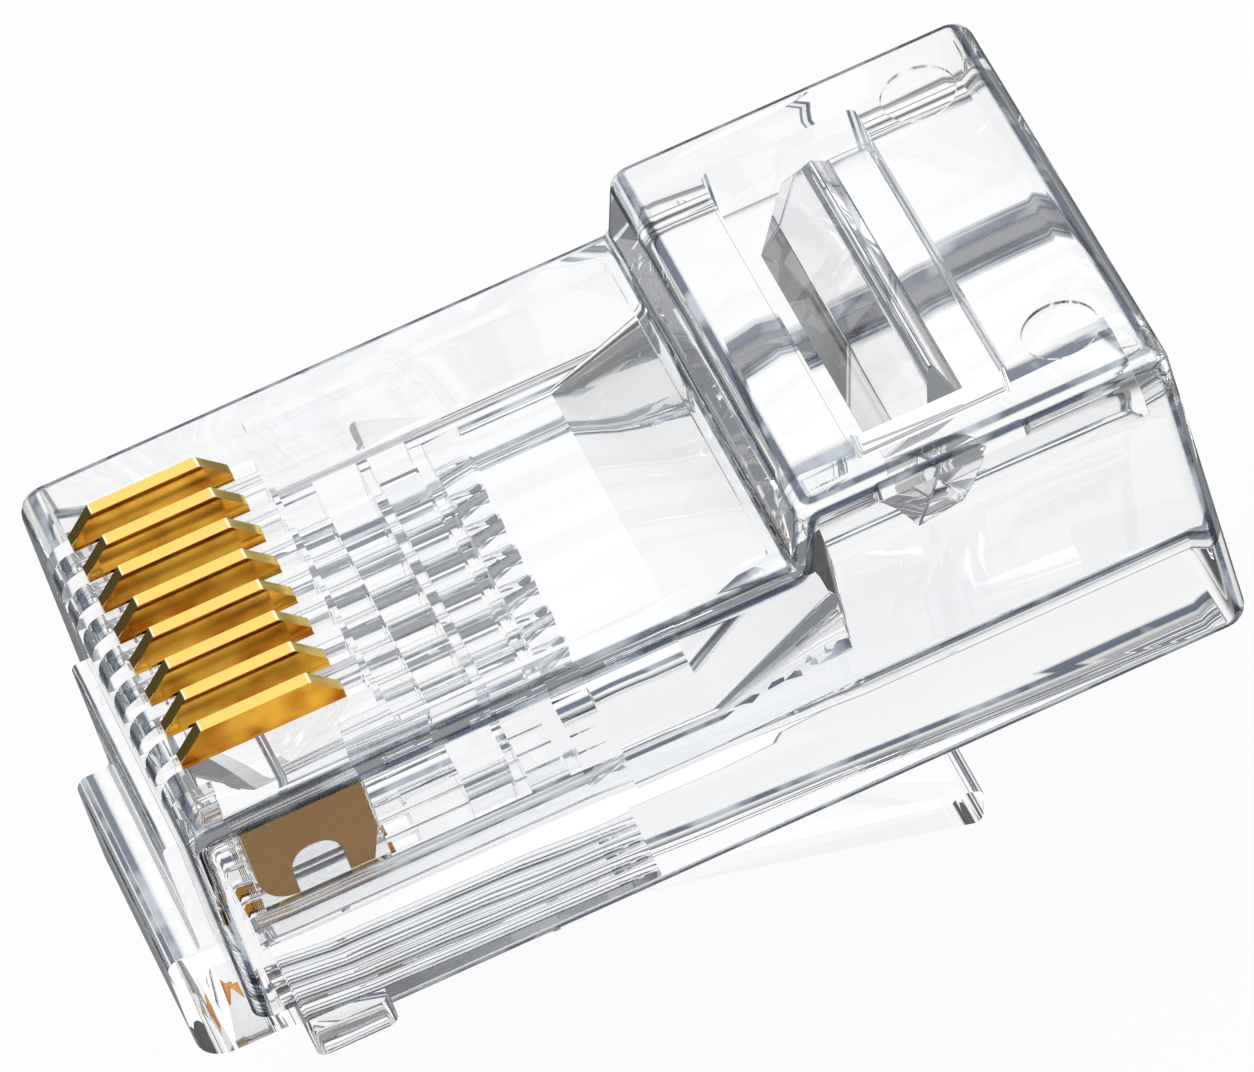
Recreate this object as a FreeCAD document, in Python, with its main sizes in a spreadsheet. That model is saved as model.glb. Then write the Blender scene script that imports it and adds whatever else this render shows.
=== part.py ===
import FreeCAD, Part
import math
import os
import Sketcher

# Eight-way modular plug, in millimetres and degrees.
# X runs from the nose to the cable end, Y across, Z from the underside of the body up to the contacts.

sizes = {
    # moulded body
    "body_width": 11.68,
    "body_length": 21.93,
    "front_height": 6.65,
    "rear_height": 8.15,
    "tail_block_length": 8.08,
    "step_run": 0.45,
    "step_foot_round": 0.2,
    "step_top_round": 0.5,
    "nose_round": 0.55,
    "tail_round": 0.5,
    "edge_round": 0.4,
    # nose underside
    "notch_depth": 0.9,
    "notch_height": 1.3,
    "foot_length": 1.8,
    "foot_width": 1.5,
    "foot_drop": 0.35,
    "foot_round": 0.22,
    # latch root on the nose
    "latch_width": 6.02,
    "lip_thickness": 0.35,
    "lip_top": 4.1,
    "lip_round": 0.15,
    "root_overhang": 1.17,
    "root_top": 1.05,
    "root_drop": 2.0,
    "root_round": 0.7,
    "root_top_round": 0.3,
    "root_rear_x": 0.5,
    "root_bend_inset": 0.15,
    "hinge_x": 1.0,
    "hinge_depth": 1.14,
    "hinge_gap": 0.03,
    # latch lever
    "lever_slope": 14.65,
    "lever_knee_x": 9.89,
    "lever_tip_slope": 17.5,
    "lever_tip_x": 15.9,
    "lever_thickness": 1.03,
    "lever_tip_thickness": 0.87,
    "lever_tip_round": 0.2,
    "lever_shoulder_x": 7.25,
    "wing_cut_start_x": 2.0,
    "wing_cut_start": 0.04,
    "wing_cut_end": 1.0,
    "wing_cut_margin": 0.3,
    "lever_neck_width": 3.25,
    "lever_corner_round": 0.25,
    # contact blades
    "contact_count": 8,
    "contact_pitch": 1.02,
    "blade_thickness": 0.32,
    "blade_top": 7.39,
    "blade_flat_front_x": 1.24,
    "blade_flat_rear_x": 3.64,
    "blade_bevel_front_x": 0.78,
    "blade_bevel_rear_x": 4.1,
    "blade_bevel_z": 6.93,
    "blade_shoulder_front_x": 0.62,
    "blade_shoulder_rear_x": 4.23,
    "blade_shoulder_top": 6.8,
    "blade_shoulder_bottom": 6.45,
    "blade_front_x": 1.12,
    "blade_rear_x": 3.8,
    "blade_arch_front_x": 1.87,
    "blade_arch_rear_x": 2.98,
    "blade_arch_top": 4.2,
    "blade_arch_round": 0.5,
    "prong_tip_z": 3.12,
    "front_prong_round": 0.68,
    "rear_prong_tip_x": 3.52,
    "rear_prong_bevel_z": 3.9,
    "blade_corner_round": 0.08,
    "coin_width": 0.28,
    "coin_length": 0.9,
    "coin_height": 0.02,
    "coin_front_x": 1.5,
    "coin_rear_x": 3.4,
    "coin_z": 5.25,
    # blade slots
    "slot_side_gap": 0.04,
    "slot_end_gap": 0.05,
    "slot_rear_x": 4.75,
    "crimp_travel": 0.95,
    # conductor channels
    "channel_width": 0.86,
    "channel_floor": 2.05,
    "channel_ceiling": 3.15,
    "channel_round": 0.38,
    "channel_front_x": 0.7,
    "divider_taper_length": 0.85,
    "divider_merge": 0.02,
    # passage behind the channels
    "passage_half_width": 4.08,
    "passage_floor": 2.0,
    "passage_round": 0.3,
    "passage_length": 2.05,
    # gallery across the channels, raised channel roofs behind it and a lower gallery behind those
    "gallery_half_width": 3.76,
    "gallery_floor_rise": 0.45,
    "gallery_ceiling": 4.26,
    "gallery_inset": 2.4,
    "gallery_length": 1.0,
    "roof_height": 3.77,
    "roof_inset": 1.15,
    "roof_length": 0.85,
    "rear_gallery_ceiling": 3.69,
    "rear_gallery_length": 0.3,
    # cable cavity
    "cavity_half_width": 4.9,
    "cavity_ceiling": 7.1,
    "cavity_floor_round": 0.8,
    "cavity_roof_round": 1.2,
    "riser_setback": 0.15,
    "riser_run": 0.2,
    "funnel_crease_z": 4.8,
    "funnel_length": 2.85,
    "mouth_depth": 0.7,
    "mouth_flare": 0.3,
    # recess on the front top
    "recess_front_gap": 0.12,
    "recess_rear_gap": 0.3,
    "recess_half_width": 4.9,
    "recess_depth": 0.25,
    "recess_round": 0.15,
    # strain relief window and bar
    "window_tail_wall": 3.0,
    "window_length": 3.48,
    "window_half_width": 4.45,
    "window_round": 0.2,
    "bar_side_gap": 0.1,
    "bar_ridge_inset": 1.4,
    "bar_ridge_width": 0.12,
    "bar_ridge_half_width": 3.5,
    "bar_brow_inset": 2.05,
    "bar_brow_depth": 1.19,
    "bar_toe_inset": 2.83,
    "bar_toe_depth": 2.65,
    "bar_heel_inset": 1.73,
    "bar_heel_depth": 2.4,
    "bar_foot_inset": 0.91,
    "bar_end_depth": 1.0,
    "web_thickness": 0.28,
    # ejector marks on the rear top
    "mark_radius": 0.81,
    "mark_inset": 1.69,
    "mark_y": 4.05,
    "mark_depth": 0.08,
}


class Size:
    """A number with the sheet formula that gives it."""

    def __init__(self, formula, value):
        self.formula = formula
        self.value = value

    def combine(self, sign, other, value):
        return Size("(%s %s %s)" % (self.formula, sign, other.formula), value)

    def __add__(self, other):
        other = as_size(other)
        return self.combine("+", other, self.value + other.value)

    def __sub__(self, other):
        other = as_size(other)
        return self.combine("-", other, self.value - other.value)

    def __mul__(self, other):
        other = as_size(other)
        return self.combine("*", other, self.value * other.value)

    def __truediv__(self, other):
        other = as_size(other)
        return self.combine("/", other, self.value / other.value)

    def __neg__(self):
        return Size("(-1 * %s)" % self.formula, -self.value)


def as_size(number):
    if isinstance(number, Size):
        return number
    return Size(repr(float(number)), float(number))


def tangent(angle):
    return Size("tan(%s * 1 deg)" % angle.formula, math.tan(math.radians(angle.value)))


def sine(angle):
    return Size("sin(%s * 1 deg)" % angle.formula, math.sin(math.radians(angle.value)))


def cosine(angle):
    return Size("cos(%s * 1 deg)" % angle.formula, math.cos(math.radians(angle.value)))


doc = FreeCAD.newDocument("modular_plug")
sheet = doc.addObject("Spreadsheet::Sheet", "Sizes")
for row, (name, value) in enumerate(sizes.items(), start=1):
    sheet.set("A%d" % row, name)
    sheet.set("B%d" % row, str(value))
    sheet.setAlias("B%d" % row, name)
doc.recompute()


def size(name):
    return Size("Sizes." + name, float(sizes[name]))


zero = as_size(0)
half_body = size("body_width") / 2
half_latch = size("latch_width") / 2
slot_width = size("blade_thickness") + size("slot_side_gap") * 2
first_contact_y = -size("contact_pitch") * (size("contact_count") - 1) / 2

step_top_x = size("body_length") - size("tail_block_length")
step_foot_x = step_top_x - size("step_run")
window_rear_x = size("body_length") - size("window_tail_wall")
window_front_x = window_rear_x - size("window_length")
riser_foot_x = step_top_x + size("riser_setback")
riser_top_x = riser_foot_x + size("riser_run")
passage_rear_x = step_top_x - size("funnel_length")
divider_end_x = passage_rear_x - size("passage_length")
divider_taper_x = divider_end_x - size("divider_taper_length")

# Lever lines: the underside falls from the root, the top follows it at the lever's depth
lever_bend_x = size("root_rear_x") + size("root_bend_inset")
hinge_low_z = -size("root_drop") - (size("hinge_x") - lever_bend_x) * tangent(size("lever_slope"))
hinge_top_z = hinge_low_z + size("hinge_depth")


def origin_part(body, role):
    return [item for item in body.Origin.OriginFeatures if item.Role == role][0]


def new_body(name):
    body = doc.addObject("PartDesign::Body", name)
    body.Label = name
    return body


def empty_sketch(body, name, plane, offset=None):
    sketch = body.newObject("Sketcher::SketchObject", name)
    sketch.AttachmentSupport = [(origin_part(body, plane), "")]
    sketch.MapMode = "FlatFace"
    if offset is not None:
        sketch.setExpression("AttachmentOffset.Base.z", offset.formula)
    return sketch


def pin_point(sketch, geometry, position, across, up):
    """Tie a sketch point to the sketch origin with two sheet formulas."""
    for kind, distance in (("DistanceX", across), ("DistanceY", up)):
        link = Sketcher.Constraint(kind, -1, 1, geometry, position, distance.value)
        index = sketch.addConstraint(link)
        sketch.setExpression("Constraints[%d]" % index, distance.formula)


def corner_cut(before, corner, after, radius):
    """Where the two sides of a corner meet its arc, with the arc's centre."""
    back = (before - corner).normalize()
    ahead = (after - corner).normalize()
    half_angle = back.getAngle(ahead) / 2
    reach = radius / math.tan(half_angle)
    centre = corner + (back + ahead).normalize() * (radius / math.sin(half_angle))
    return corner + back * reach, corner + ahead * reach, centre


def draw_outline(sketch, corners):
    """Draw a closed outline. Each corner is (across, up) or (across, up, radius)."""
    points = [FreeCAD.Vector(corner[0].value, corner[1].value, 0) for corner in corners]
    count = len(points)
    entries, leaves, arcs = list(points), list(points), [None] * count
    for i, corner in enumerate(corners):
        if len(corner) == 3:
            before, after = points[i - 1], points[(i + 1) % count]
            cut = corner_cut(before, points[i], after, corner[2].value)
            entries[i], leaves[i], arcs[i] = cut
    lines = []
    for i in range(count):
        segment = Part.LineSegment(leaves[i], entries[(i + 1) % count])
        lines.append(sketch.addGeometry(segment, False))
    for i, corner in enumerate(corners):
        incoming, outgoing = lines[i - 1], lines[i]
        if arcs[i] is None:
            sketch.addConstraint(Sketcher.Constraint("Coincident", incoming, 2, outgoing, 1))
            pin_point(sketch, outgoing, 1, corner[0], corner[1])
            continue
        radius = corner[2]
        start, end = entries[i] - arcs[i], leaves[i] - arcs[i]
        turns_left = start.cross(end).z > 0
        first, last = (start, end) if turns_left else (end, start)
        circle = Part.Circle(arcs[i], FreeCAD.Vector(0, 0, 1), radius.value)
        angles = [math.atan2(first.y, first.x), math.atan2(last.y, last.x)]
        arc = sketch.addGeometry(Part.ArcOfCircle(circle, *angles), False)
        entry_end, leave_end = (1, 2) if turns_left else (2, 1)
        sketch.addConstraint(Sketcher.Constraint("Tangent", incoming, 2, arc, entry_end))
        sketch.addConstraint(Sketcher.Constraint("Tangent", outgoing, 1, arc, leave_end))
        index = sketch.addConstraint(Sketcher.Constraint("Radius", arc, radius.value))
        sketch.setExpression("Constraints[%d]" % index, radius.formula)
        mark = sketch.addGeometry(Part.Point(points[i]), True)
        pin_point(sketch, mark, 1, corner[0], corner[1])
        sketch.addConstraint(Sketcher.Constraint("PointOnObject", mark, 1, incoming))
        sketch.addConstraint(Sketcher.Constraint("PointOnObject", mark, 1, outgoing))


def outline_sketch(body, name, plane, corners, offset=None):
    sketch = empty_sketch(body, name, plane, offset)
    draw_outline(sketch, corners)
    doc.recompute()
    return sketch


def circle_sketch(body, name, plane, circles, offset=None):
    """Circles given as (across, up, radius)."""
    sketch = empty_sketch(body, name, plane, offset)
    for across, up, radius in circles:
        centre = FreeCAD.Vector(across.value, up.value, 0)
        shape = Part.Circle(centre, FreeCAD.Vector(0, 0, 1), radius.value)
        ring = sketch.addGeometry(shape, False)
        pin_point(sketch, ring, 3, across, up)
        index = sketch.addConstraint(Sketcher.Constraint("Radius", ring, radius.value))
        sketch.setExpression("Constraints[%d]" % index, radius.formula)
    doc.recompute()
    return sketch


def box_corners(low_across, high_across, low_up, high_up, radius=None):
    ring = [(low_across, low_up), (high_across, low_up), (high_across, high_up), (low_across, high_up)]
    if radius is None:
        return ring
    return [corner + (radius,) for corner in ring]


def check_change(body, feature, adds):
    """A pad has to add material and a pocket has to remove it."""
    before = feature.BaseFeature.Shape.Volume if feature.BaseFeature else 0.0
    change = feature.Shape.Volume - before
    if (change > 0) != adds or abs(change) < 1e-6:
        raise RuntimeError("%s changed %s by %.4f" % (feature.Name, body.Name, change))


def extrude(body, name, kind, sketch, length, both=False, reverse=False):
    feature = body.newObject("PartDesign::" + kind, name)
    feature.Profile = (sketch, [""])
    feature.setExpression("Length", length.formula)
    if both:
        feature.SideType = "Symmetric"
    feature.Reversed = reverse
    doc.recompute()
    check_change(body, feature, kind == "Pad")
    return feature


def cut_loft(body, name, first, second):
    feature = body.newObject("PartDesign::SubtractiveLoft", name)
    feature.Profile = (first, [""])
    feature.Sections = [(second, [""])]
    feature.Ruled = True
    doc.recompute()
    check_change(body, feature, False)
    return feature


def repeat_across(body, name, features):
    pattern = body.newObject("PartDesign::LinearPattern", name)
    pattern.Originals = features
    pattern.Direction = (origin_part(body, "Y_Axis"), [""])
    pattern.setExpression("Length", (size("contact_pitch") * (size("contact_count") - 1)).formula)
    pattern.setExpression("Occurrences", size("contact_count").formula)
    body.Tip = pattern
    doc.recompute()
    return pattern


def mirror_across(body, name, features):
    mirror = body.newObject("PartDesign::Mirrored", name)
    mirror.Originals = features
    mirror.MirrorPlane = (origin_part(body, "XZ_Plane"), [""])
    body.Tip = mirror
    doc.recompute()
    return mirror


def round_edges(body, name, radius, chosen):
    """Fillet the edges of the body that the test picks by their middle point."""
    base = body.Tip
    names = []
    for index, edge in enumerate(base.Shape.Edges, start=1):
        first, last = edge.ParameterRange
        if chosen(edge, edge.valueAt((first + last) / 2)):
            names.append("Edge%d" % index)
    feature = body.newObject("PartDesign::Fillet", name)
    feature.Base = (base, names)
    feature.setExpression("Radius", radius.formula)
    doc.recompute()
    return feature


def close_to(value, target):
    return abs(value - target.value) < 1e-4


# Housing

housing = new_body("housing")


def make_shell():
    side = outline_sketch(housing, "side_profile", "XZ_Plane", [
        (zero, zero, size("tail_round")),
        (size("body_length"), zero, size("tail_round")),
        (size("body_length"), size("rear_height"), size("tail_round")),
        (step_top_x, size("rear_height"), size("step_top_round")),
        (step_foot_x, size("front_height"), size("step_foot_round")),
        (zero, size("front_height"), size("nose_round")),
    ])
    extrude(housing, "shell", "Pad", side, size("body_width"), both=True)
    round_edges(
        housing, "shell_rounds", size("edge_round"),
        lambda edge, middle: close_to(abs(middle.y), half_body))


def make_nose():
    notch = outline_sketch(housing, "notch_profile", "XZ_Plane", box_corners(
        -size("root_overhang"), size("notch_depth"), -size("root_drop"), size("notch_height")))
    extrude(housing, "notch", "Pocket", notch, size("body_width"), both=True)

    foot_end_x = size("notch_depth") + size("foot_length")
    foot = outline_sketch(housing, "foot_profile", "XZ_Plane", [
        (size("notch_depth"), -size("foot_drop"), size("foot_round")),
        (foot_end_x, -size("foot_drop"), size("foot_round")),
        (foot_end_x, size("notch_height")),
        (size("notch_depth"), size("notch_height")),
    ], offset=half_body - size("foot_width"))
    pad = extrude(housing, "foot", "Pad", foot, size("foot_width"))
    mirror_across(housing, "feet", [pad])

    root = outline_sketch(housing, "root_profile", "XZ_Plane", [
        (-size("root_overhang"), -size("root_drop"), size("root_round")),
        (lever_bend_x, -size("root_drop")),
        (size("hinge_x"), hinge_low_z),
        (size("hinge_x"), hinge_top_z),
        (size("root_rear_x"), hinge_top_z, size("lip_round")),
        (size("root_rear_x"), zero),
        (size("notch_depth"), size("notch_height")),
        (size("notch_depth"), size("lip_top")),
        (-size("lip_thickness"), size("lip_top"), size("lip_round")),
        (-size("lip_thickness"), size("root_top"), size("lip_round")),
        (-size("root_overhang"), size("root_top"), size("root_top_round")),
    ])
    extrude(housing, "latch_root", "Pad", root, size("latch_width"), both=True)


def cable_section(name, x, half_width, ceiling, floor_round, roof_round):
    return outline_sketch(housing, name, "YZ_Plane", [
        (-half_width, size("passage_floor"), floor_round),
        (half_width, size("passage_floor"), floor_round),
        (half_width, ceiling, roof_round),
        (-half_width, ceiling, roof_round),
    ], offset=x)


def make_cable_cavity():
    wide = (size("cavity_half_width"), size("cavity_ceiling"))
    corner = (size("cavity_floor_round"), size("cavity_roof_round"))
    rear = cable_section("cavity_section", size("body_length"), *wide, *corner)
    cavity_length = size("body_length") - riser_top_x
    extrude(housing, "cable_cavity", "Pocket", rear, cavity_length)

    riser_top = cable_section("riser_top_section", riser_top_x, *wide, *corner)
    riser_foot = cable_section(
        "riser_foot_section", riser_foot_x,
        size("cavity_half_width"), size("funnel_crease_z"), *corner)
    cut_loft(housing, "riser", riser_top, riser_foot)

    crease = cable_section(
        "funnel_section", riser_foot_x,
        size("cavity_half_width"), size("funnel_crease_z"), *corner)
    neck = cable_section(
        "neck_section", passage_rear_x, size("passage_half_width"),
        size("channel_ceiling"), size("passage_round"), size("passage_round"))
    cut_loft(housing, "funnel", crease, neck)

    passage = cable_section(
        "passage_section", passage_rear_x, size("passage_half_width"),
        size("channel_ceiling"), size("passage_round"), size("passage_round"))
    extrude(housing, "passage", "Pocket", passage, size("passage_length"))

    mouth = outline_sketch(housing, "mouth_section", "YZ_Plane", [
        (-wide[0] - size("mouth_flare"), size("passage_floor") - size("mouth_flare"), corner[0]),
        (wide[0] + size("mouth_flare"), size("passage_floor") - size("mouth_flare"), corner[0]),
        (wide[0] + size("mouth_flare"), wide[1] + size("mouth_flare"), corner[1]),
        (-wide[0] - size("mouth_flare"), wide[1] + size("mouth_flare"), corner[1]),
    ], offset=size("body_length"))
    throat = cable_section(
        "throat_section", size("body_length") - size("mouth_depth"), *wide, *corner)
    cut_loft(housing, "mouth", mouth, throat)


def channel_section(name, x, width):
    half = width / 2
    return outline_sketch(housing, name, "YZ_Plane", [
        (first_contact_y - half, size("channel_floor"), size("channel_round")),
        (first_contact_y + half, size("channel_floor"), size("channel_round")),
        (first_contact_y + half, size("channel_ceiling")),
        (first_contact_y - half, size("channel_ceiling")),
    ], offset=x)


def make_channels():
    straight = channel_section("channel_section", divider_taper_x, size("channel_width"))
    bore = extrude(
        housing, "channel", "Pocket", straight, divider_taper_x - size("channel_front_x"))
    narrow = channel_section("taper_section", divider_taper_x, size("channel_width"))
    merged = channel_section(
        "merge_section", divider_end_x, size("contact_pitch") + size("divider_merge"))
    flare = cut_loft(housing, "channel_flare", narrow, merged)
    roof_x = divider_taper_x - size("roof_inset")
    side = outline_sketch(housing, "roof_profile", "XZ_Plane", box_corners(
        roof_x, roof_x + size("roof_length"), size("channel_floor") + size("channel_round"),
        size("roof_height")), offset=-first_contact_y)
    roof = extrude(housing, "raised_roof", "Pocket", side, size("channel_width"), both=True)
    repeat_across(housing, "channels", [bore, flare, roof])

    gallery_x = divider_taper_x - size("gallery_inset")
    rear_gallery_x = roof_x + size("roof_length")
    galleries = [
        ("gallery", gallery_x, size("gallery_length"), size("gallery_ceiling")),
        ("rear_gallery", rear_gallery_x, size("rear_gallery_length"), size("rear_gallery_ceiling")),
    ]
    for name, front_x, length, ceiling in galleries:
        side = outline_sketch(housing, name + "_profile", "XZ_Plane", box_corners(
            front_x, front_x + length,
            size("channel_floor") + size("gallery_floor_rise"), ceiling))
        extrude(housing, name, "Pocket", side, size("gallery_half_width") * 2, both=True)


def make_slots():
    floor = size("blade_shoulder_bottom") - size("crimp_travel") - size("slot_end_gap")
    above = size("rear_height") + size("nose_round")
    ahead = -size("root_overhang")
    profile = outline_sketch(housing, "slot_profile", "XZ_Plane", [
        (ahead, floor),
        (size("blade_front_x") - size("slot_end_gap"), floor),
        (size("blade_front_x") - size("slot_end_gap"), size("channel_floor") + size("channel_width") / 2),
        (size("blade_rear_x") + size("slot_end_gap"), size("channel_floor") + size("channel_width") / 2),
        (size("blade_rear_x") + size("slot_end_gap"), floor),
        (size("slot_rear_x"), floor),
        (size("slot_rear_x"), above),
        (ahead, above),
    ], offset=-first_contact_y)
    slot = extrude(housing, "blade_slot", "Pocket", profile, slot_width, both=True)
    repeat_across(housing, "blade_slots", [slot])


def make_top_details():
    recess = outline_sketch(housing, "recess_profile", "XY_Plane", box_corners(
        size("slot_rear_x") + size("recess_front_gap"), step_foot_x - size("recess_rear_gap"),
        -size("recess_half_width"), size("recess_half_width"), size("recess_round")),
        offset=size("front_height"))
    extrude(housing, "top_recess", "Pocket", recess, size("recess_depth"))

    window = outline_sketch(housing, "window_profile", "XY_Plane", box_corners(
        window_front_x, window_rear_x,
        -size("window_half_width"), size("window_half_width"), size("window_round")),
        offset=size("rear_height"))
    roof = size("rear_height") - size("cavity_ceiling") + size("cavity_roof_round")
    extrude(housing, "relief_window", "Pocket", window, roof)

    marks = circle_sketch(housing, "mark_profile", "XY_Plane", [
        (size("body_length") - size("mark_inset"), size("mark_y"), size("mark_radius")),
        (size("body_length") - size("mark_inset"), -size("mark_y"), size("mark_radius")),
    ], offset=size("rear_height"))
    extrude(housing, "ejector_marks", "Pocket", marks, size("mark_depth"))


make_shell()
make_nose()
make_cable_cavity()
make_channels()
make_slots()
make_top_details()


# Latch lever

def wing_cut_section(body, name, x, leg):
    """A triangle that takes the lower outer edge off the lever at one place along it."""
    low = hinge_low_z - (x - size("hinge_x")) * tangent(size("lever_slope"))
    margin = size("wing_cut_margin")
    return outline_sketch(body, name + "_profile", "YZ_Plane", [
        (half_latch - leg - margin, low - margin),
        (half_latch + margin, low - margin),
        (half_latch + margin, low + leg + margin),
    ], offset=x)


def make_latch():
    body = new_body("latch_tab")
    slope, tip_slope = size("lever_slope"), size("lever_tip_slope")
    root_x = size("hinge_x") + size("hinge_gap")
    root_low = hinge_low_z - size("hinge_gap") * tangent(slope)
    root_top = root_low + size("hinge_depth")
    knee_low = hinge_low_z - (size("lever_knee_x") - size("hinge_x")) * tangent(slope)
    tip_low = knee_low - (size("lever_tip_x") - size("lever_knee_x")) * tangent(tip_slope)
    knee_top_x = size("lever_knee_x") + size("lever_thickness") * sine(slope)
    tip_top_x = size("lever_tip_x") + size("lever_tip_thickness") * sine(tip_slope)
    tip_top = tip_low + size("lever_tip_thickness") * cosine(tip_slope)
    profile = outline_sketch(body, "lever_profile", "XZ_Plane", [
        (root_x, root_low),
        (size("lever_knee_x"), knee_low),
        (size("lever_tip_x"), tip_low, size("lever_tip_round")),
        (tip_top_x, tip_top, size("lever_tip_round")),
        (knee_top_x, knee_low + size("lever_thickness") * cosine(slope)),
        (root_x, root_top),
    ])
    extrude(body, "lever", "Pad", profile, size("latch_width"), both=True)

    past_tip = size("lever_tip_x") + size("lever_tip_thickness") * 2
    shoulder = outline_sketch(body, "shoulder_profile", "XY_Plane", [
        (size("lever_shoulder_x"), size("lever_neck_width") / 2, size("lever_corner_round")),
        (past_tip, size("lever_neck_width") / 2),
        (past_tip, size("latch_width")),
        (size("lever_shoulder_x"), size("latch_width")),
    ])
    relief = extrude(body, "shoulder_relief", "Pocket", shoulder, size("body_length"))

    # The wings keep their full width on top, and their lower edges are cut back more and more
    start = wing_cut_section(body, "wing_cut_start", size("wing_cut_start_x"), size("wing_cut_start"))
    end = wing_cut_section(body, "wing_cut_end", size("lever_shoulder_x"), size("wing_cut_end"))
    wing_cut = cut_loft(body, "wing_cut", end, start)
    mirror_across(body, "neck_and_wings", [relief, wing_cut])
    return body


latch = make_latch()


# Strain relief bar

def make_bar():
    body = new_body("strain_relief_bar")
    hinge_x = window_rear_x - size("hinge_gap")
    ridge_x = window_rear_x - size("bar_ridge_inset")
    foot_x = window_rear_x - size("bar_foot_inset")
    top = size("rear_height")
    web_top = size("cavity_ceiling") + size("web_thickness")
    half_width = size("window_half_width") - size("bar_side_gap")
    profile = outline_sketch(body, "bar_profile", "XZ_Plane", [
        (window_rear_x - size("bar_toe_inset"), top - size("bar_toe_depth")),
        (window_rear_x - size("bar_heel_inset"), top - size("bar_heel_depth")),
        (foot_x, size("cavity_ceiling")),
        (hinge_x, size("cavity_ceiling")),
        (hinge_x, web_top),
        (foot_x, web_top),
        (ridge_x + size("bar_ridge_width"), top),
        (ridge_x, top),
        (window_rear_x - size("bar_brow_inset"), top - size("bar_brow_depth")),
    ])
    extrude(body, "bar", "Pad", profile, half_width * 2, both=True)

    end = outline_sketch(body, "end_profile", "YZ_Plane", [
        (half_width, top - size("bar_end_depth")),
        (half_width * 2, top - size("bar_end_depth")),
        (half_width * 2, top + size("bar_ridge_width")),
        (size("bar_ridge_half_width"), top + size("bar_ridge_width")),
        (size("bar_ridge_half_width"), top),
    ])
    slant = extrude(body, "end_slant", "Pocket", end, size("body_length") * 2, both=True)
    mirror_across(body, "end_slants", [slant])
    return body


bar = make_bar()


# Contact blades

def make_contact(number):
    body = new_body("contact_%d" % number)
    profile = outline_sketch(body, "blade_profile_%d" % number, "XZ_Plane", [
        (size("blade_flat_front_x"), size("blade_top"), size("blade_corner_round")),
        (size("blade_flat_rear_x"), size("blade_top"), size("blade_corner_round")),
        (size("blade_bevel_rear_x"), size("blade_bevel_z")),
        (size("blade_shoulder_rear_x"), size("blade_shoulder_top")),
        (size("blade_shoulder_rear_x"), size("blade_shoulder_bottom")),
        (size("blade_rear_x"), size("blade_shoulder_bottom")),
        (size("blade_rear_x"), size("rear_prong_bevel_z")),
        (size("rear_prong_tip_x"), size("prong_tip_z")),
        (size("blade_arch_rear_x"), size("prong_tip_z")),
        (size("blade_arch_rear_x"), size("blade_arch_top"), size("blade_arch_round")),
        (size("blade_arch_front_x"), size("blade_arch_top"), size("blade_arch_round")),
        (size("blade_arch_front_x"), size("prong_tip_z")),
        (size("blade_front_x"), size("prong_tip_z"), size("front_prong_round")),
        (size("blade_front_x"), size("blade_shoulder_bottom")),
        (size("blade_shoulder_front_x"), size("blade_shoulder_bottom")),
        (size("blade_shoulder_front_x"), size("blade_shoulder_top")),
        (size("blade_bevel_front_x"), size("blade_bevel_z")),
    ])
    extrude(body, "blade_%d" % number, "Pad", profile, size("blade_thickness"), both=True)

    thickness = size("blade_thickness") + size("coin_height") * 2
    for side in ("front", "rear"):
        middle = size("coin_%s_x" % side)
        half_width, half_length = size("coin_width") / 2, size("coin_length") / 2
        lozenge = outline_sketch(body, "coin_%s_profile_%d" % (side, number), "XZ_Plane", [
            (middle, size("coin_z") - half_length),
            (middle + half_width, size("coin_z") - half_length + half_width),
            (middle + half_width, size("coin_z") + half_length - half_width),
            (middle, size("coin_z") + half_length),
            (middle - half_width, size("coin_z") + half_length - half_width),
            (middle - half_width, size("coin_z") - half_length + half_width),
        ])
        extrude(body, "coin_%s_%d" % (side, number), "Pad", lozenge, thickness, both=True)
    place = first_contact_y + size("contact_pitch") * (number - 1)
    body.setExpression("Placement.Base.y", place.formula)
    return body


contacts = [make_contact(number + 1) for number in range(int(sizes["contact_count"]))]


# Checks and files

doc.recompute()
for item in doc.Objects:
    if "Invalid" in item.State or "Error" in item.State:
        raise RuntimeError("%s failed: %s" % (item.Name, item.State))

pieces = [housing, latch, bar] + contacts
for piece in pieces:
    if piece.Shape.isNull() or not piece.Shape.isValid() or len(piece.Shape.Solids) != 1:
        raise RuntimeError("%s isn't one sound solid" % piece.Label)

os.makedirs("parts", exist_ok=True)
for piece in pieces:
    piece.Shape.exportStep("parts/%s.step" % piece.Label)
    box = piece.Shape.BoundBox
    print("%-18s volume %8.3f  x %7.2f %7.2f  y %6.2f %6.2f  z %6.2f %6.2f" % (
        piece.Label, piece.Shape.Volume, box.XMin, box.XMax, box.YMin, box.YMax, box.ZMin, box.ZMax))
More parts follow.
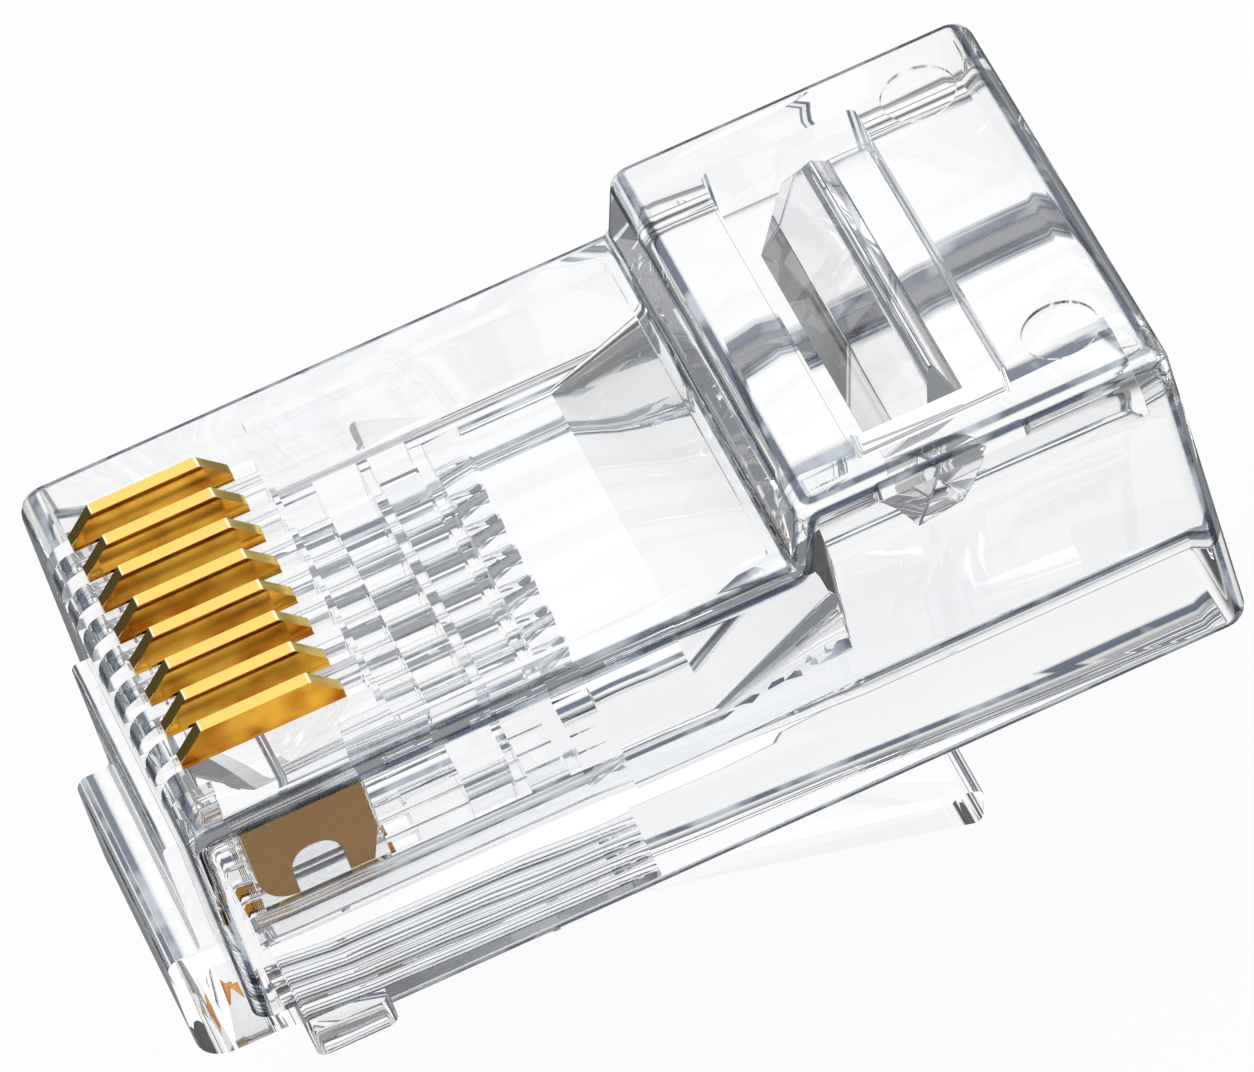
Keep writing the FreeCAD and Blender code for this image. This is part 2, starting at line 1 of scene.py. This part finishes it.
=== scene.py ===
import math
import bmesh
import bpy
from mathutils import Matrix, Vector
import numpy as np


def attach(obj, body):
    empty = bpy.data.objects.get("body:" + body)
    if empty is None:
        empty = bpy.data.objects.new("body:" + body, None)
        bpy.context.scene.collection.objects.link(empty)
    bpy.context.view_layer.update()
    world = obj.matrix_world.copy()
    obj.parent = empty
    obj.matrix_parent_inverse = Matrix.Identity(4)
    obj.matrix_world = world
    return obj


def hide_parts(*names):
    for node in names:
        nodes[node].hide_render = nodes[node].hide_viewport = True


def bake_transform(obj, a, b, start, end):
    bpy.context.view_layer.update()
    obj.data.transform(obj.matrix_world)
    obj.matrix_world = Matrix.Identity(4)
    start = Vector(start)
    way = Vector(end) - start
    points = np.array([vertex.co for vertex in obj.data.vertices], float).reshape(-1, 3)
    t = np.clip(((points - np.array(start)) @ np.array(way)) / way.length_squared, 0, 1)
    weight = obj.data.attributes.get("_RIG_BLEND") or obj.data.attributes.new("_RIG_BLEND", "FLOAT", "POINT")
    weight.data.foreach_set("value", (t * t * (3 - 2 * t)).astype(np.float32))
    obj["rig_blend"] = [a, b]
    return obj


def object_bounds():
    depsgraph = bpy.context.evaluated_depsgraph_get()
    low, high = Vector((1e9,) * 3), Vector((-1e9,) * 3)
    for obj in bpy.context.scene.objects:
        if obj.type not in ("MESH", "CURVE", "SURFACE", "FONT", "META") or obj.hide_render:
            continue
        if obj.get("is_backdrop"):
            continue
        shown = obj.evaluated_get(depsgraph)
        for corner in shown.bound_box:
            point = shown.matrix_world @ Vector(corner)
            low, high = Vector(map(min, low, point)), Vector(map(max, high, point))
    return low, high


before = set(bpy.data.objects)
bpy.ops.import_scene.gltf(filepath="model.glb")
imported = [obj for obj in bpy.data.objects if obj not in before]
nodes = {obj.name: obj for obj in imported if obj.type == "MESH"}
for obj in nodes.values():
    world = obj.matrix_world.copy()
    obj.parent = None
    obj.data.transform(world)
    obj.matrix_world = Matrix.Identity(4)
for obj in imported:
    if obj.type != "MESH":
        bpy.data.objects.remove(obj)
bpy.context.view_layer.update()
scene = bpy.context.scene
mm = 0.001
print("frame loaded:", len(nodes), "nodes")


# Small helpers for node trees

def newMaterial(name):
    material = bpy.data.materials.new(name)
    material.use_nodes = True
    material.node_tree.nodes.clear()
    return material, material.node_tree


def addNode(tree, kind, **settings):
    node = tree.nodes.new(kind)
    for key, value in settings.items():
        setattr(node, key, value)
    return node


def setInputs(node, values):
    for key, value in values.items():
        node.inputs[key].default_value = value


def stretchedCoordinates(tree, scale):
    place = addNode(tree, "ShaderNodeTexCoord")
    stretch = addNode(tree, "ShaderNodeMapping")
    setInputs(stretch, {"Scale": scale})
    tree.links.new(place.outputs["Object"], stretch.inputs["Vector"])
    return stretch.outputs["Vector"]


def addNoise(tree, coordinates, scale, detail=2.0):
    noise = addNode(tree, "ShaderNodeTexNoise")
    setInputs(noise, {"Scale": scale, "Detail": detail})
    tree.links.new(coordinates, noise.inputs["Vector"])
    return noise.outputs["Fac"]


def remap(tree, value, low, high, newLow=0.0, newHigh=1.0):
    node = addNode(tree, "ShaderNodeMapRange")
    setInputs(node, {"From Min": low, "From Max": high, "To Min": newLow, "To Max": newHigh})
    tree.links.new(value, node.inputs["Value"])
    return node.outputs["Result"]


def mixColors(tree, factor, first, second):
    node = addNode(tree, "ShaderNodeMix", data_type="RGBA")
    tree.links.new(factor, node.inputs["Factor"])
    for socket, color in (("A", first), ("B", second)):
        if isinstance(color, tuple):
            node.inputs[socket].default_value = color
        else:
            tree.links.new(color, node.inputs[socket])
    return node.outputs["Result"]


def joinValues(tree, operation, first, second):
    node = addNode(tree, "ShaderNodeMath", operation=operation, use_clamp=True)
    tree.links.new(first, node.inputs[0])
    tree.links.new(second, node.inputs[1])
    return node.outputs[0]


def finishMaterial(tree, shader):
    output = addNode(tree, "ShaderNodeOutputMaterial")
    tree.links.new(shader.outputs[0], output.inputs["Surface"])


# Rounded edges get two painted blue grey shade lines beside a clear core, with painted glints along
# them, standing in for the light these edges turn away. The places of the lines are the largest
# part of the normal, which is 1.0 on a flat face and 0.71 halfway round.

paintedEdgeShade = {
    "paintedShadeLine": (0.02, 0.03, 0.055, 1.0),
    "paintedGlint": (0.30, 0.36, 0.44, 1.0),
    "glintScale": 900.0,
    "glintLow": 0.47,
    "glintHigh": 0.66,
    "outerEnd": 0.995,
    "outerStart": 0.97,
    "innerStart": 0.86,
    "innerEnd": 0.80,
}


def addPaintedEdgeShade(tree, tint, look):
    place = addNode(tree, "ShaderNodeTexCoord")
    unsigned = addNode(tree, "ShaderNodeVectorMath", operation="ABSOLUTE")
    tree.links.new(place.outputs["Normal"], unsigned.inputs[0])
    split = addNode(tree, "ShaderNodeSeparateXYZ")
    tree.links.new(unsigned.outputs[0], split.inputs[0])
    largest = joinValues(tree, "MAXIMUM", split.outputs["Y"], split.outputs["Z"])
    largest = joinValues(tree, "MAXIMUM", split.outputs["X"], largest)
    outer = remap(tree, largest, look["outerEnd"], look["outerStart"])
    inner = remap(tree, largest, look["innerEnd"], look["innerStart"])
    paintedGlints = addNoise(tree, place.outputs["Object"], look["glintScale"])
    paintedGlints = remap(tree, paintedGlints, look["glintLow"], look["glintHigh"])
    paintedShadeLine = mixColors(tree, paintedGlints, look["paintedShadeLine"], look["paintedGlint"])
    return mixColors(tree, joinValues(tree, "MULTIPLY", outer, inner), tint, paintedShadeLine)


# Clear polycarbonate: polished, with faint cool flow bands left by the moulding. Deep glossy paths
# get a faint painted glow, standing in for light caught between the walls that comes back.

clearPlastic = {
    "clear": (1.0, 1.0, 1.0, 1.0),
    "flowTint": (0.955, 0.968, 0.985, 1.0),
    "flowScale": 240.0,
    "flowStretch": (0.2, 1.0, 1.0),
    "flowLow": 0.4,
    "flowHigh": 0.7,
    "ior": 1.586,
    "paintedGlow": 0.13,
    "paintedGlowTint": (0.90, 0.94, 1.0, 1.0),
    "paintedGlowAfter": 3.5,
}


def makeClearPlastic(name, look, edge=None):
    material, tree = newMaterial(name)
    flow = addNoise(tree, stretchedCoordinates(tree, look["flowStretch"]), look["flowScale"])
    bands = remap(tree, flow, look["flowLow"], look["flowHigh"])
    tint = mixColors(tree, bands, look["clear"], look["flowTint"])
    # The edge look paints shade lines and glints on the rounded strips
    if edge:
        tint = addPaintedEdgeShade(tree, tint, edge)
    # Painted glow: emission on paths with many glossy bounces
    rays = addNode(tree, "ShaderNodeLightPath")
    deep = addNode(tree, "ShaderNodeMath", operation="GREATER_THAN")
    deep.inputs[1].default_value = look["paintedGlowAfter"]
    tree.links.new(rays.outputs["Glossy Depth"], deep.inputs[0])
    paintedGlowStrength = remap(tree, deep.outputs[0], 0.0, 1.0, 0.0, look["paintedGlow"])
    shader = addNode(tree, "ShaderNodeBsdfPrincipled")
    setInputs(shader, {
        "Roughness": 0.0, "IOR": look["ior"], "Transmission Weight": 1.0,
        "Emission Color": look["paintedGlowTint"]})
    tree.links.new(tint, shader.inputs["Base Color"])
    tree.links.new(paintedGlowStrength, shader.inputs["Emission Strength"])
    finishMaterial(tree, shader)
    return material


# Blades: gold painted lighter on the upward-facing crowns as a painted highlight and deeper on the
# flanks as painted shade, with random amber clouds on the flanks, and bare bronze lower down, with
# fine lines from the rolled strip. The crowns are where the jack's wires touch

goldPlate = {
    "paintedLitCrown": (0.96, 0.68, 0.18, 1.0),
    "paintedShadedFlank": (0.92, 0.46, 0.05, 1.0),
    "amber": (0.46, 0.13, 0.006, 1.0),
    "bronze": (0.22, 0.10, 0.001, 1.0),
    "platingEnd": 6.2 * mm,
    "platingFull": 6.75 * mm,
    "crownLow": 0.2,
    "crownHigh": 0.6,
    "cloudScale": 900.0,
    "cloudLow": 0.35,
    "cloudHigh": 0.6,
    "grainScale": 1800.0,
    "grainStretch": (0.12, 1.0, 1.0),
    "grainDetail": 3.0,
    "grainLow": 0.35,
    "grainHigh": 0.7,
    "roughLow": 0.06,
    "roughHigh": 0.16,
    "grainHeight": 0.0015 * mm,
}

# The blades' broken edges get a painted highlight, brighter in every zone

goldEdgeHighlight = {
    "paintedLitCrown": (1.0, 0.93, 0.66, 1.0),
    "paintedShadedFlank": (1.0, 0.90, 0.56, 1.0),
    "amber": (1.0, 0.80, 0.40, 1.0),
    "bronze": (0.50, 0.26, 0.03, 1.0),
}


def makeGoldPlate(name, look):
    material, tree = newMaterial(name)
    place = addNode(tree, "ShaderNodeTexCoord")
    height = addNode(tree, "ShaderNodeSeparateXYZ")
    tree.links.new(place.outputs["Object"], height.inputs[0])
    facing = addNode(tree, "ShaderNodeSeparateXYZ")
    tree.links.new(place.outputs["Normal"], facing.inputs[0])
    cloud = addNoise(tree, place.outputs["Object"], look["cloudScale"])
    cloud = remap(tree, cloud, look["cloudLow"], look["cloudHigh"])
    paintedShadedFlank = mixColors(tree, cloud, look["amber"], look["paintedShadedFlank"])
    # Painted highlight and shade: upward faces take the lighter crown colour, the flanks the deeper one
    upward = remap(tree, facing.outputs["Z"], look["crownLow"], look["crownHigh"])
    plated = mixColors(tree, upward, paintedShadedFlank, look["paintedLitCrown"])
    zone = remap(tree, height.outputs["Z"], look["platingEnd"], look["platingFull"])
    color = mixColors(tree, zone, look["bronze"], plated)
    stretched = stretchedCoordinates(tree, look["grainStretch"])
    grain = addNoise(tree, stretched, look["grainScale"], look["grainDetail"])
    roughness = remap(
        tree, grain, look["grainLow"], look["grainHigh"], look["roughLow"], look["roughHigh"])
    bump = addNode(tree, "ShaderNodeBump")
    setInputs(bump, {"Strength": 1.0, "Distance": look["grainHeight"]})
    tree.links.new(grain, bump.inputs["Height"])
    shader = addNode(tree, "ShaderNodeBsdfPrincipled")
    setInputs(shader, {"Metallic": 1.0})
    tree.links.new(color, shader.inputs["Base Color"])
    tree.links.new(roughness, shader.inputs["Roughness"])
    tree.links.new(bump.outputs["Normal"], shader.inputs["Normal"])
    finishMaterial(tree, shader)
    return material


clearMaterials = [
    makeClearPlastic("clear_polycarbonate", clearPlastic),
    # This clear material paints shade lines and glints on the rounded strips and broken edges
    makeClearPlastic("clear_painted_edge_shade", clearPlastic, paintedEdgeShade),
]
goldMaterials = [
    makeGoldPlate("gold_plating", goldPlate),
    # This gold material paints a highlight on the blades' broken edges
    makeGoldPlate("gold_painted_edge_highlight", {**goldPlate, **goldEdgeHighlight}),
]
print("materials made")


# Pieces: a merged copy of each CAD node, with its moulded or stamped edges broken.
# The rounded strips and the broken edges take the piece's second material, which paints
# shade lines on the clear pieces and a highlight on the blades.

edgeFinish = {
    "sharpAngle": math.radians(28),
    "flatAngle": math.radians(0.3),
    "curveAngle": math.radians(1.5),
    "mergeDistance": 0.001 * mm,
    "roomShare": 2.1,  # an edge is broken where its neighbours are this many widths long
    "stripWidth": 0.14 * mm,  # widest strip of a rounded edge
    "cavityStart": 14.0 * mm,  # behind this, hollow corners count as rounded edges too
}


def isRounding(face):
    width = face.calc_area() / max(edge.calc_length() for edge in face.edges)
    curved = [edge for edge in face.edges
              if edgeFinish["curveAngle"] < edge.calc_face_angle(0.0) < edgeFinish["sharpAngle"]]
    outside = any(edge.is_convex for edge in curved)
    inCavity = face.calc_center_median().x > edgeFinish["cavityStart"]
    return bool(curved) and width < edgeFinish["stripWidth"] and (outside or inCavity)


def hasRoom(edge, width):
    nearby = {other for vertex in edge.verts for other in vertex.link_edges}
    return min(other.calc_length() for other in nearby) > edgeFinish["roomShare"] * width


def mergedCopy(nodeName, pieceName, materials, finish):
    mesh = nodes[nodeName].data.copy()
    mesh.name = pieceName
    for attribute in [a.name for a in mesh.attributes if a.name in ("custom_normal", "sharp_face")]:
        mesh.attributes.remove(mesh.attributes[attribute])
    mesh.materials.clear()
    for material in materials:
        mesh.materials.append(material)
    work = bmesh.new()
    work.from_mesh(mesh)
    bmesh.ops.remove_doubles(work, verts=work.verts, dist=edgeFinish["mergeDistance"])
    bmesh.ops.dissolve_limit(
        work, angle_limit=edgeFinish["flatAngle"], verts=work.verts, edges=work.edges)
    for cutX in finish.get("cuts", ()):
        geometry = work.verts[:] + work.edges[:] + work.faces[:]
        bmesh.ops.bisect_plane(work, geom=geometry, plane_co=(cutX, 0, 0), plane_no=(1, 0, 0))
    for face in work.faces:
        face.smooth = True
        face.material_index = 1 if isRounding(face) else 0
    weights = work.edges.layers.float.new("bevel_weight_edge")
    for edge in work.edges:
        bend = edge.calc_face_angle(0.0)
        edge.smooth = len(edge.link_faces) == 2 and bend < edgeFinish["sharpAngle"]
        edge[weights] = 1.0 if hasRoom(edge, finish["width"]) and not edge.smooth else 0.0
    work.to_mesh(mesh)
    work.free()
    piece = bpy.data.objects.new(pieceName, mesh)
    scene.collection.objects.link(piece)
    return piece


def makePiece(nodeName, pieceName, materials, finish):
    piece = mergedCopy(nodeName, pieceName, materials, finish)
    bevel = piece.modifiers.new("broken_edges", "BEVEL")
    bevel.width = finish["width"]
    bevel.segments = finish["segments"]
    bevel.limit_method = "WEIGHT"
    bevel.harden_normals = True
    bevel.use_clamp_overlap = True
    bevel.miter_outer = "MITER_ARC"
    bevel.material = 1
    bpy.context.view_layer.update()
    evaluated = piece.evaluated_get(bpy.context.evaluated_depsgraph_get())
    mesh = bpy.data.meshes.new_from_object(evaluated)
    piece.modifiers.clear()
    piece.data = mesh
    return piece


def spread(start, end, count):
    return [start + (end - start) * (i + 1) / (count + 1) for i in range(count)]


housingEdges = {"width": 0.05 * mm, "segments": 2}
housing = makePiece("housing", "clear_housing", clearMaterials, housingEdges)
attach(housing, "body")
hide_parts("housing")

# The lever bends at its root, and the bar on its web, as one moulding does

latchBend = {"start": 1.03 * mm, "end": 3.0 * mm, "count": 7, "width": 0.10 * mm, "segments": 3}
latchBend["cuts"] = spread(latchBend["start"], latchBend["end"], latchBend["count"])
latch = makePiece("latch_tab", "latch_lever", clearMaterials, latchBend)
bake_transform(latch, "body", "latch", start=(latchBend["start"], 0, 0), end=(latchBend["end"], 0, 0))
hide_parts("latch_tab")

webBend = {"start": 18.9 * mm, "end": 18.1 * mm, "count": 4, "width": 0.05 * mm, "segments": 2}
webBend["cuts"] = spread(webBend["start"], webBend["end"], webBend["count"])
reliefBar = makePiece("strain_relief_bar", "relief_bar", clearMaterials, webBend)
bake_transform(reliefBar, "body", "relief", start=(webBend["start"], 0, 0), end=(webBend["end"], 0, 0))
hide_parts("strain_relief_bar")

bladeEdges = {"width": 0.04 * mm, "segments": 2}
bladeCount = 8
for number in range(1, bladeCount + 1):
    node = "contact_%d" % number
    blade = makePiece(node, "gold_blade_%d" % number, goldMaterials, bladeEdges)
    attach(blade, "blade_%d" % number)
    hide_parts(node)
print("pieces made")


# White floor that keeps a faint shadow, a room of soft white and grey cards, and two softboxes

studio = {
    "floorDrop": 0.4 * mm,
    "floorSize": 1.2,
    "floorColor": (0.9, 0.9, 0.9, 1.0),
    "shadowShare": 0.06,
    "worldFill": 0.55,
    "roomLevel": 0.9,
    "horizonLevel": 0.4,
    "mirroredBelow": 0.2,  # share of the lower half that shows in reflections
    "horizonInner": 0.1,
    "horizonOuter": 0.42,
    # direction, inner and outer half angle, brightness
    "cards": [
        ((0.0, 0.0, 1.0), 10, 60, 1.0),  # overhead
        ((0.95, 0.25, -0.15), 15, 45, 0.35),  # behind the cable end
        ((-1.0, 0.0, 0.0), 15, 35, 0.3),  # before the nose
        ((0.0, -1.0, 0.0), 15, 35, 0.36),  # near side
        ((0.08, -0.72, -0.69), 12, 28, 1.0),  # mirrored by the far wall and the blades' flanks
        ((0.08, 0.72, -0.69), 25, 45, 1.0),  # straight through the body
        ((0.08, 0.72, 0.69), 15, 35, 1.1),  # mirrored by flat tops
        ((-0.69, 0.72, 0.08), 10, 25, 0.08),  # mirrored by the blades' front slopes
        ((0.45, 0.88, 0.05), 14, 30, 0.01),  # behind the strain relief bar
        ((0.68, 0.70, 0.12), 13, 23, 1.15),  # mirrored by the blades' rear slopes
    ],
    "aim": (10.0 * mm, 0.0, 3.0 * mm),
    "key": {"place": (-0.25, 0.10, 0.35), "size": (0.30, 0.30), "power": 0.7},
    "side": {"place": (0.30, -0.20, 0.25), "size": (0.20, 0.20), "power": 0.25},
}


def mixShaders(tree, factor, first, second):
    node = addNode(tree, "ShaderNodeMixShader")
    tree.links.new(factor, node.inputs["Fac"])
    tree.links.new(first, node.inputs[1])
    tree.links.new(second, node.inputs[2])
    return node.outputs[0]


def makeFloor(look):
    material, tree = newMaterial("white_floor")
    rays = addNode(tree, "ShaderNodeLightPath")
    seen = joinValues(tree, "MAXIMUM", rays.outputs["Is Camera Ray"], rays.outputs["Is Glossy Ray"])
    seen = joinValues(tree, "MAXIMUM", seen, rays.outputs["Is Transmission Ray"])
    matt = addNode(tree, "ShaderNodeBsdfDiffuse")
    setInputs(matt, {"Color": look["floorColor"]})
    glow = addNode(tree, "ShaderNodeEmission")
    share = remap(tree, seen, 0.0, 1.0, 0.0, 1.0 - look["shadowShare"])
    output = addNode(tree, "ShaderNodeOutputMaterial")
    surface = mixShaders(tree, share, matt.outputs[0], glow.outputs[0])
    tree.links.new(surface, output.inputs["Surface"])
    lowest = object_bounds()[0].z - look["floorDrop"]
    half = look["floorSize"] / 2
    mesh = bpy.data.meshes.new("floor")
    corners = [(x * half, y * half, lowest) for x, y in ((-1, -1), (1, -1), (1, 1), (-1, 1))]
    mesh.from_pydata(corners, [], [(0, 1, 2, 3)])
    mesh.materials.append(material)
    floor = bpy.data.objects.new("floor", mesh)
    scene.collection.objects.link(floor)
    floor.visible_transmission = False
    floor.visible_glossy = False
    floor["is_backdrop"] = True


def makeWorld(look):
    world = bpy.data.worlds.new("studio")
    scene.world = world
    world.use_nodes = True
    tree = world.node_tree
    tree.nodes.clear()
    rays = addNode(tree, "ShaderNodeLightPath")
    place = addNode(tree, "ShaderNodeTexCoord")
    split = addNode(tree, "ShaderNodeSeparateXYZ")
    tree.links.new(place.outputs["Generated"], split.inputs[0])
    height = addNode(tree, "ShaderNodeMath", operation="ABSOLUTE")
    tree.links.new(split.outputs["Z"], height.inputs[0])
    horizon = addNode(tree, "ShaderNodeMapRange", interpolation_type="SMOOTHSTEP")
    setInputs(horizon, {
        "From Min": look["horizonInner"], "From Max": look["horizonOuter"],
        "To Min": look["horizonLevel"], "To Max": look["roomLevel"]})
    tree.links.new(height.outputs[0], horizon.inputs["Value"])
    level = horizon.outputs["Result"]
    for direction, inner, outer, brightness in look["cards"]:
        aim = addNode(tree, "ShaderNodeVectorMath", operation="DOT_PRODUCT")
        tree.links.new(place.outputs["Generated"], aim.inputs[0])
        aim.inputs[1].default_value = Vector(direction).normalized()
        inside = addNode(tree, "ShaderNodeMapRange", interpolation_type="SMOOTHSTEP")
        setInputs(inside, {
            "From Min": math.cos(math.radians(outer)), "From Max": math.cos(math.radians(inner))})
        tree.links.new(aim.outputs["Value"], inside.inputs["Value"])
        blend = addNode(tree, "ShaderNodeMix", data_type="FLOAT")
        blend.inputs["B"].default_value = brightness
        tree.links.new(inside.outputs["Result"], blend.inputs["Factor"])
        tree.links.new(level, blend.inputs["A"])
        level = blend.outputs["Result"]
    cards = addNode(tree, "ShaderNodeBackground")
    tree.links.new(level, cards.inputs["Color"])
    below = addNode(tree, "ShaderNodeMath", operation="LESS_THAN")
    below.inputs[1].default_value = 0.0
    tree.links.new(split.outputs["Z"], below.inputs[0])
    faint = joinValues(tree, "SUBTRACT", below.outputs[0], rays.outputs["Is Transmission Ray"])
    strength = remap(tree, faint, 0.0, 1.0, 1.0, look["mirroredBelow"])
    tree.links.new(strength, cards.inputs["Strength"])
    fill = addNode(tree, "ShaderNodeBackground")
    setInputs(fill, {"Color": (1.0, 1.0, 1.0, 1.0), "Strength": look["worldFill"]})
    white = addNode(tree, "ShaderNodeBackground")
    setInputs(white, {"Color": (1.0, 1.0, 1.0, 1.0)})
    mirrored = joinValues(
        tree, "MAXIMUM", rays.outputs["Is Glossy Ray"], rays.outputs["Is Transmission Ray"])
    lit = mixShaders(tree, mirrored, fill.outputs[0], cards.outputs[0])
    final = mixShaders(tree, rays.outputs["Is Camera Ray"], lit, white.outputs[0])
    output = addNode(tree, "ShaderNodeOutputWorld")
    tree.links.new(final, output.inputs["Surface"])


def addLamp(name, look, target):
    light = bpy.data.lights.new(name, "AREA")
    light.shape = "RECTANGLE"
    light.size, light.size_y = look["size"]
    light.energy = look["power"]
    lamp = bpy.data.objects.new(name, light)
    lamp.location = look["place"]
    lamp.rotation_euler = (Vector(target) - lamp.location).to_track_quat("-Z", "Y").to_euler()
    scene.collection.objects.link(lamp)


makeFloor(studio)
makeWorld(studio)
addLamp("key_softbox", studio["key"], studio["aim"])
addLamp("side_softbox", studio["side"], studio["aim"])
print("studio made")


# The camera stands where the photograph was taken from, worked out from the plug's own edges

cameraView = {
    "place": (-10.748 * mm, -196.933 * mm, 193.592 * mm),
    "forward": (0.079494, 0.717971, -0.691518),
    "right": (0.909920, -0.335567, -0.243803),
    "lens": 385.0,
    "sensor": 36.0,
    "clipStart": 0.01,
    "clipEnd": 10.0,
}


def makeCamera(view):
    data = bpy.data.cameras.new("camera")
    data.lens = view["lens"]
    data.sensor_width = view["sensor"]
    data.clip_start = view["clipStart"]
    data.clip_end = view["clipEnd"]
    camera = bpy.data.objects.new("camera", data)
    scene.collection.objects.link(camera)
    forward = Vector(view["forward"]).normalized()
    right = Vector(view["right"])
    right = (right - forward * right.dot(forward)).normalized()
    up = right.cross(forward)
    turn = Matrix((right, up, -forward)).transposed().to_4x4()
    camera.matrix_world = Matrix.Translation(view["place"]) @ turn
    scene.camera = camera


makeCamera(cameraView)
scene.view_settings.view_transform = "Standard"
print("camera set")
